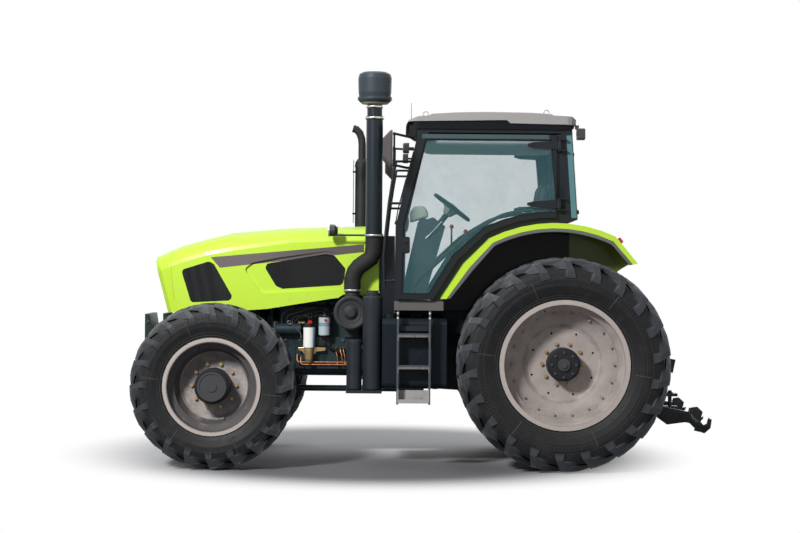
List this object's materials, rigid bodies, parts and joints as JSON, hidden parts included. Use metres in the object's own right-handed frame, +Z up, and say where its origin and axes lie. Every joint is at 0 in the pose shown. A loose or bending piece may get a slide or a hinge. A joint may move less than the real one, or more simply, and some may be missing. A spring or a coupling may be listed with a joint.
{
  "type": "farm tractor",
  "caption": "Four-wheel-drive farm tractor with a glass cab, a lifting one-piece hood and a rear three-point linkage.",
  "frame": {"origin": "middle of the length and width, on the ground", "axes": "+X forward, +Y the left side, +Z up"},
  "size_m": [4.6267, 2.2, 3.155],
  "materials": {
    "engine": "painted, satin",
    "gearbox": "painted, satin",
    "rear_axle": "painted, satin",
    "front_frame": "painted, satin",
    "front_axle": "painted, satin",
    "radiator": "matt",
    "air_cleaner": "matt",
    "intake_elbow": "matt",
    "intake_stack": "satin",
    "exhaust": "brushed",
    "canisters": "satin",
    "fuel_tanks": "matt",
    "ladders": "satin",
    "cab_floor": "satin",
    "cab_frame": "satin",
    "windshield": "clear, faintly teal",
    "roof": "matt",
    "lamps": "glossy",
    "fenders": "gloss paint",
    "mirrors": "matt",
    "seat": "woven",
    "console": "matt",
    "steering_wheel": "matt",
    "drawbar": "satin",
    "hood": "gloss paint",
    "grilles": "satin",
    "headlamps": "glossy",
    "left_door": "satin",
    "left_door_glass": "clear, faintly teal",
    "right_door": "satin",
    "right_door_glass": "clear, faintly teal",
    "rear_window": "clear, faintly teal",
    "left_knuckle": "painted, satin",
    "right_knuckle": "painted, satin",
    "steering_rod": "brushed",
    "front_left_tyre": "matt",
    "front_left_rim": "satin",
    "front_right_tyre": "matt",
    "front_right_rim": "satin",
    "rear_left_tyre": "matt",
    "rear_left_rim": "satin",
    "rear_right_tyre": "matt",
    "rear_right_rim": "satin",
    "lower_links": "satin",
    "lift_arms": "satin",
    "lift_rods": "satin",
    "top_link": "satin"
  },
  "bodies": {
    "chassis": {"engine": "engine", "gearbox": "gearbox", "rear_axle": "rear_axle", "front_frame": "front_frame", "front_axle": "front_axle", "radiator": "radiator", "air_cleaner": "air_cleaner", "intake_elbow": "intake_elbow", "intake_stack": "intake_stack", "exhaust": "exhaust", "canisters": "canisters", "fuel_tanks": "fuel_tanks", "ladders": "ladders", "cab_floor": "cab_floor", "cab_frame": "cab_frame", "windshield": "windshield", "roof": "roof", "lamps": "lamps", "fenders": "fenders", "mirrors": "mirrors", "seat": "seat", "console": "console", "steering_wheel": "steering_wheel", "drawbar": "drawbar"},
    "hood": {"hood": "hood", "grilles": "grilles", "headlamps": "headlamps"},
    "left_door": {"left_door": "left_door", "left_door_glass": "left_door_glass"},
    "right_door": {"right_door": "right_door", "right_door_glass": "right_door_glass"},
    "rear_window": {"rear_window": "rear_window"},
    "left_knuckle": {"left_knuckle": "left_knuckle"},
    "right_knuckle": {"right_knuckle": "right_knuckle"},
    "steering_rod": {"steering_rod": "steering_rod"},
    "front_left_wheel": {"front_left_tyre": "front_left_tyre", "front_left_rim": "front_left_rim"},
    "front_right_wheel": {"front_right_tyre": "front_right_tyre", "front_right_rim": "front_right_rim"},
    "rear_left_wheel": {"rear_left_tyre": "rear_left_tyre", "rear_left_rim": "rear_left_rim"},
    "rear_right_wheel": {"rear_right_tyre": "rear_right_tyre", "rear_right_rim": "rear_right_rim"},
    "lower_links": {"lower_links": "lower_links"},
    "lift_arms": {"lift_arms": "lift_arms"},
    "lift_rods": {"lift_rods": "lift_rods"},
    "top_link": {"top_link": "top_link"}
  },
  "joints": [
    {"name": "hood_lift", "type": "hinge", "parent": "chassis", "child": "hood", "pos_m": [0.40343, 0, 1.868], "axis": [0, -1, 0], "range_deg": [0, 45]},
    {"name": "left_door_swing", "type": "hinge", "parent": "chassis", "child": "left_door", "pos_m": [-1.03657, 0.806, 2.3], "axis": [0, 0, 1], "range_deg": [0, 75]},
    {"name": "right_door_swing", "type": "hinge", "parent": "chassis", "child": "right_door", "pos_m": [-1.03657, -0.806, 2.3], "axis": [0, 0, -1], "range_deg": [0, 75]},
    {"name": "rear_window_lift", "type": "hinge", "parent": "chassis", "child": "rear_window", "pos_m": [-1.16057, 0, 2.672], "axis": [0, 1, 0], "range_deg": [0, 45]},
    {"name": "left_steer", "type": "hinge", "parent": "chassis", "child": "left_knuckle", "pos_m": [1.66343, 0.69, 0.65], "axis": [0, 0, 1], "range_deg": [-38, 38]},
    {"name": "right_steer", "type": "hinge", "parent": "chassis", "child": "right_knuckle", "pos_m": [1.66343, -0.69, 0.65], "axis": [0, 0, 1], "range_deg": [-38, 38]},
    {"name": "steering_rod_slide", "type": "slide", "parent": "chassis", "child": "steering_rod", "axis": [0, 1, 0], "range_m": [-0.0935, 0.0935]},
    {"name": "front_left_spin", "type": "hinge", "parent": "left_knuckle", "child": "front_left_wheel", "pos_m": [1.66343, 0.85, 0.65], "axis": [0, 1, 0], "continuous": true},
    {"name": "front_right_spin", "type": "hinge", "parent": "right_knuckle", "child": "front_right_wheel", "pos_m": [1.66343, -0.85, 0.65], "axis": [0, 1, 0], "continuous": true},
    {"name": "rear_left_spin", "type": "hinge", "parent": "chassis", "child": "rear_left_wheel", "pos_m": [-1.07657, 0.825, 0.84], "axis": [0, 1, 0], "continuous": true},
    {"name": "rear_right_spin", "type": "hinge", "parent": "chassis", "child": "rear_right_wheel", "pos_m": [-1.07657, -0.825, 0.84], "axis": [0, 1, 0], "continuous": true},
    {"name": "lower_link_lift", "type": "hinge", "parent": "chassis", "child": "lower_links", "pos_m": [-1.32657, 0, 0.553], "axis": [0, 1, 0], "range_deg": [-6, 26]},
    {"name": "lift_arm_turn", "type": "hinge", "parent": "chassis", "child": "lift_arms", "pos_m": [-1.40657, 0, 1.13], "axis": [0, 1, 0], "range_deg": [-9, 38.6]},
    {"name": "lift_rod_swing", "type": "hinge", "parent": "lift_arms", "child": "lift_rods", "pos_m": [-1.72171, 0, 1.07443], "axis": [0, 1, 0], "range_deg": [-36.7, 8.6]},
    {"name": "top_link_swing", "type": "hinge", "parent": "chassis", "child": "top_link", "pos_m": [-1.43657, 0, 0.92], "axis": [0, 1, 0], "range_deg": [-12, 25]}
  ],
  "couplings": [
    {"joint": "right_steer", "follows": "left_steer", "ratio": 1},
    {"joint": "steering_rod_slide", "follows": "left_steer", "m_per_rad": -0.14},
    {"joint": "lift_arm_turn", "follows": "lower_link_lift", "ratio": 1.48},
    {"joint": "lift_rod_swing", "follows": "lower_link_lift", "ratio": -1.4}
  ]
}
